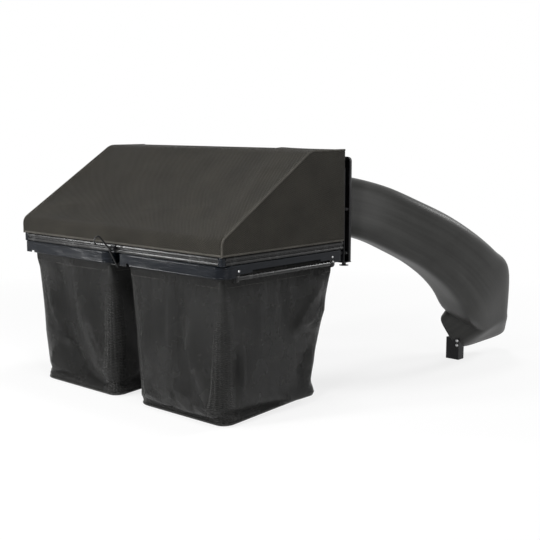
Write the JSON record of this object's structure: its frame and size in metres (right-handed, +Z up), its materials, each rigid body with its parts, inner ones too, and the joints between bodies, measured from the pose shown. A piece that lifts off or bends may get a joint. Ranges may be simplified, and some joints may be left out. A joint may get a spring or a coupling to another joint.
{
  "type": "rear grass catcher",
  "caption": "Rear grass catcher for a ride-on mower: a hinged soft hood with a wire latch over hanging mesh bags in moulded rims, with a curved plastic chute from the deck.",
  "frame": {"origin": "middle of the hitch plate's front face", "axes": "+Y forwards towards the mower, +Z up, +X to the right seen from behind"},
  "size_m": [1.1212, 1.5606, 0.793],
  "materials": {
    "panel_steel": "black powder coat",
    "black_steel": "black powder coat",
    "handle_steel": "black, worn satin",
    "rail_steel": "black, semi-gloss",
    "latch_steel": "black, semi-gloss",
    "zinc": "zinc plated",
    "rim_plastic": "glossy blue-black",
    "chute_plastic": "satin dark grey",
    "hood_cloth": "open woven mesh",
    "bag_cloth": "open woven mesh"
  },
  "bodies": {
    "frame": {"front_panel": "panel_steel", "hitch_plate": "black_steel", "hitch_bolt_1": "zinc", "hitch_bolt_2": "zinc", "hitch_bolt_3": "zinc", "hitch_bolt_4": "zinc", "left_post": "black_steel", "left_foot": "black_steel", "left_bag_rail": "black_steel", "left_bag_rim": "rim_plastic", "left_bag_cloth": "bag_cloth", "left_bag_handle": "handle_steel", "left_grip_screw_1": "zinc", "left_grip_screw_2": "zinc", "left_hinge_bracket": "black_steel", "left_hinge_bolt_1": "zinc", "left_hinge_bolt_2": "zinc", "right_post": "black_steel", "right_foot": "black_steel", "right_bag_rail": "black_steel", "right_bag_rim": "rim_plastic", "right_bag_cloth": "bag_cloth", "right_bag_handle": "handle_steel", "right_grip_screw_1": "zinc", "right_grip_screw_2": "zinc", "right_hinge_bracket": "black_steel", "right_hinge_bolt_1": "zinc", "right_hinge_bolt_2": "zinc", "post_bolt_1": "zinc", "post_bolt_2": "zinc", "post_bolt_3": "zinc", "post_bolt_4": "zinc", "latch_catch": "black_steel", "chute_inlet": "chute_plastic", "chute_neck": "chute_plastic", "chute_elbow": "chute_plastic", "chute_barrel": "chute_plastic", "chute_boot": "chute_plastic", "chute_screw_1": "zinc", "chute_screw_2": "zinc", "chute_screw_3": "zinc", "chute_screw_4": "zinc", "chute_screw_5": "zinc", "chute_screw_6": "zinc", "boot_bracket": "black_steel", "hook_screw_1": "zinc", "hook_screw_2": "zinc"},
    "hood": {"hood_cover": "hood_cloth", "left_hood_hoop": "rail_steel", "right_hood_hoop": "rail_steel", "pivot_tube": "rail_steel", "knee_tube": "rail_steel", "rear_rail": "rail_steel", "left_rail": "rail_steel", "right_rail": "rail_steel", "left_rail_corner": "rim_plastic", "right_rail_corner": "rim_plastic", "latch_bracket": "black_steel", "latch_pin": "zinc"},
    "latch": {"latch_wire": "latch_steel"}
  },
  "joints": [
    {"name": "hood_hinge", "type": "hinge", "parent": "frame", "child": "hood", "pos_m": [0, -0.0663, 0.272], "axis": [-1, 0, 0], "range_deg": [0, 70]},
    {"name": "latch_pivot", "type": "hinge", "parent": "hood", "child": "latch", "pos_m": [0, -0.6015, -0.001], "axis": [-1, 0, 0], "range_deg": [0, 40]}
  ]
}
